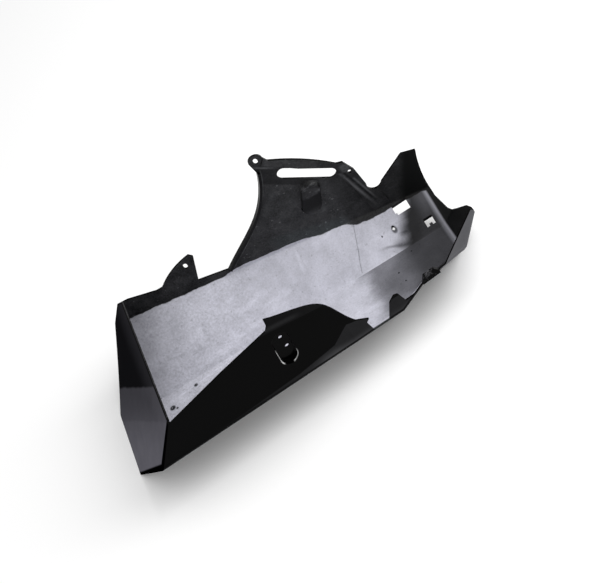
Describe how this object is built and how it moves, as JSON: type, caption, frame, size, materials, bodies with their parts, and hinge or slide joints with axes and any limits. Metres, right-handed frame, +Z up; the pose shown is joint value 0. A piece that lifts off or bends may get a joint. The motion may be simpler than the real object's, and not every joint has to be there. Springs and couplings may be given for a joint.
{
  "type": "motorcycle belly pan",
  "caption": "Trough-shaped lower fairing for a motorcycle's underside, with a raked nose, a swept bracket wall, screw lugs, drain holes and a kicked-up tail.",
  "frame": {"origin": "centre of the bounding box, on the plane of the flat bottom", "axes": "+X to the nose, +Y to the left wall, +Z up"},
  "size_m": [0.61, 0.3176, 0.248],
  "materials": {
    "shell": "gloss black outside, satin grey inside the floor"
  },
  "bodies": {
    "root": {"belly_pan": "shell"}
  },
  "joints": []
}
